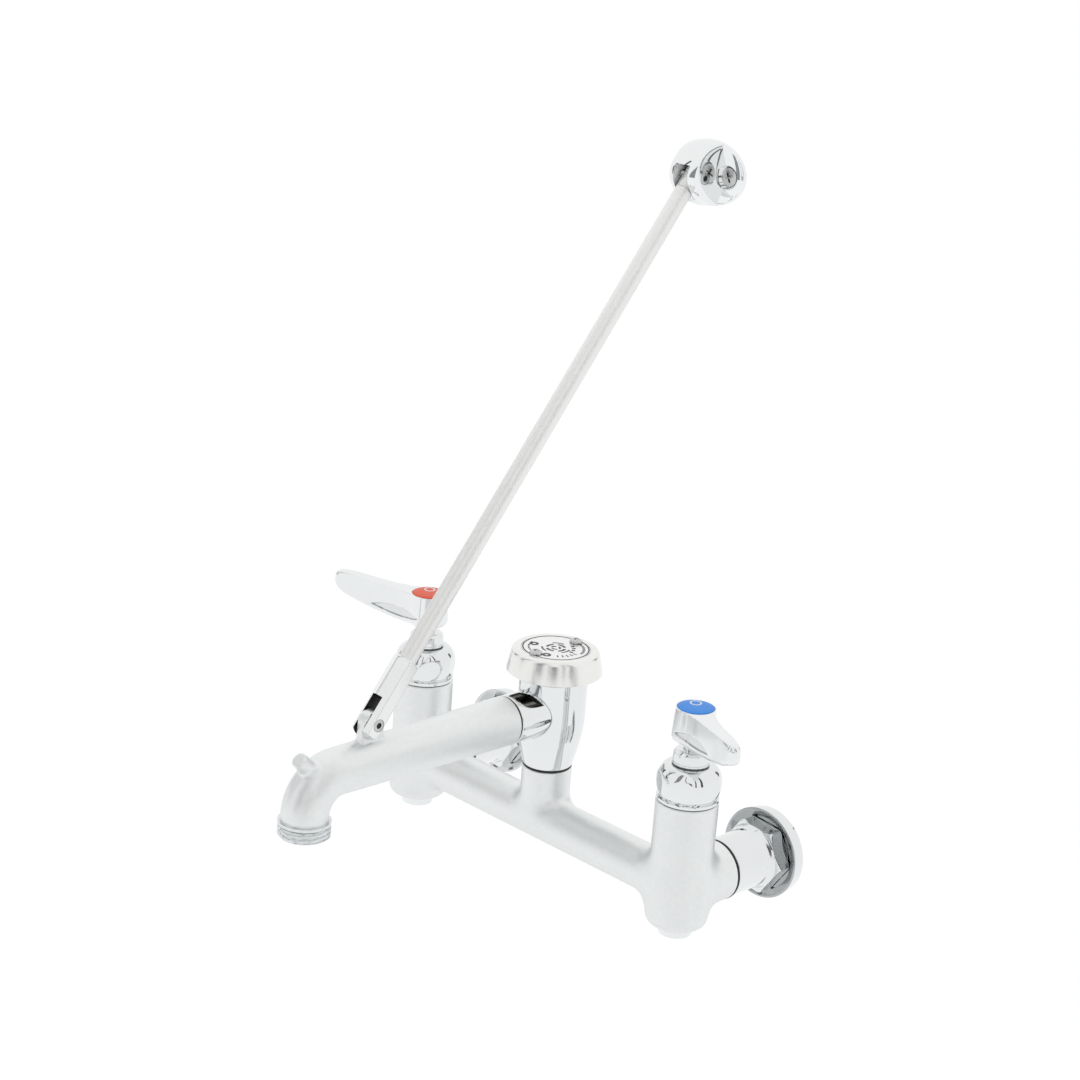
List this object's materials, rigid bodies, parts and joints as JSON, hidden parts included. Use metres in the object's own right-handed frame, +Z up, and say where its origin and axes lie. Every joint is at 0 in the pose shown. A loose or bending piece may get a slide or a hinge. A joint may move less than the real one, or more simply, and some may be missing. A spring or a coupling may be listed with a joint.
{
  "type": "service sink faucet",
  "caption": "Wall-mounted service sink faucet with lever handles, vacuum breaker, hose-thread spout with pail hook, and hinged support rod.",
  "frame": {"origin": "midway between the two inlets, on the wall plane that the backs of the wall flanges lie in", "axes": "+X from the hot valve to the cold valve, +Y into the wall, +Z up"},
  "size_m": [0.3105, 0.2726, 0.3925],
  "materials": {
    "rough_chrome": "plated over the rough sand casting, softly shining with a fine grain",
    "polished_chrome": "mirror polished plating",
    "satin_nickel": "warm satin plating on a turned hood",
    "satin_steel": "satin drawn stainless steel",
    "screw_steel": "bright stainless screws",
    "brass": "machined, unplated",
    "ceramic": "lapped white ceramic",
    "black_rubber": "moulded, matt",
    "white_plastic": "moulded",
    "red_enamel": "glossy red cap",
    "blue_enamel": "glossy blue cap"
  },
  "bodies": {
    "faucet_body": {"body_casting": "rough_chrome", "hot_wall_flange": "polished_chrome", "hot_inlet_coupling": "polished_chrome", "hot_coupling_o_ring": "black_rubber", "hot_stop_bonnet": "rough_chrome", "hot_seat_seal": "black_rubber", "hot_fixed_disc": "ceramic", "hot_cartridge_housing": "brass", "hot_bonnet_o_ring": "black_rubber", "hot_bonnet": "polished_chrome", "hot_packing_ring": "black_rubber", "hot_packing_nut": "polished_chrome", "cold_wall_flange": "polished_chrome", "cold_inlet_coupling": "polished_chrome", "cold_coupling_o_ring": "black_rubber", "cold_stop_bonnet": "rough_chrome", "cold_seat_seal": "black_rubber", "cold_fixed_disc": "ceramic", "cold_cartridge_housing": "brass", "cold_bonnet_o_ring": "black_rubber", "cold_bonnet": "polished_chrome", "cold_packing_ring": "black_rubber", "cold_packing_nut": "polished_chrome", "breaker_o_ring": "black_rubber", "breaker_body": "polished_chrome", "breaker_bonnet": "brass", "breaker_hood": "satin_nickel", "hood_top_plate": "satin_steel", "front_hood_screw": "screw_steel", "rear_hood_screw": "screw_steel", "spout_o_ring": "black_rubber", "spout": "rough_chrome"},
    "hot_handle": {"hot_lever_handle": "polished_chrome", "hot_cartridge_stem": "brass", "hot_rotating_disc": "ceramic", "hot_handle_screw": "screw_steel", "hot_index_cap": "red_enamel"},
    "cold_handle": {"cold_lever_handle": "polished_chrome", "cold_cartridge_stem": "brass", "cold_rotating_disc": "ceramic", "cold_handle_screw": "screw_steel", "cold_index_cap": "blue_enamel"},
    "hot_stop": {"hot_stop_spindle": "brass"},
    "cold_stop": {"cold_stop_spindle": "brass"},
    "float": {"breaker_float": "white_plastic", "float_seal": "black_rubber"},
    "brace": {"rod_clevis": "polished_chrome", "lower_pivot_screw": "screw_steel", "support_rod": "satin_steel", "rod_end": "satin_steel"},
    "bracket": {"wall_bracket": "polished_chrome", "upper_pivot_screw": "screw_steel", "left_wall_screw": "screw_steel", "right_wall_screw": "screw_steel"}
  },
  "joints": [
    {"name": "hot_handle_turn", "type": "hinge", "parent": "faucet_body", "child": "hot_handle", "pos_m": [-0.1016, -0.0708, 0.0891], "axis": [0, 0, 1], "range_deg": [0, 90]},
    {"name": "cold_handle_turn", "type": "hinge", "parent": "faucet_body", "child": "cold_handle", "pos_m": [0.1016, -0.0708, 0.0891], "axis": [0, 0, 1], "range_deg": [-90, 0]},
    {"name": "hot_stop_turn", "type": "hinge", "parent": "faucet_body", "child": "hot_stop", "pos_m": [-0.1016, -0.0708, -0.0267], "axis": [0, 0, 1], "range_deg": [0, 1440]},
    {"name": "cold_stop_turn", "type": "hinge", "parent": "faucet_body", "child": "cold_stop", "pos_m": [0.1016, -0.0708, -0.0267], "axis": [0, 0, 1], "range_deg": [0, 1440]},
    {"name": "float_rise", "type": "slide", "parent": "faucet_body", "child": "float", "axis": [0, 0, 1], "range_m": [0, 0.015]},
    {"name": "brace_swing", "type": "hinge", "parent": "faucet_body", "child": "brace", "pos_m": [0, -0.1996, 0.0859], "axis": [1, 0, 0], "range_deg": [-35, 125]},
    {"name": "bracket_tilt", "type": "hinge", "parent": "brace", "child": "bracket", "pos_m": [0, 0.00433, 0.34636], "axis": [1, 0, 0], "range_deg": [-40, 50]}
  ]
}
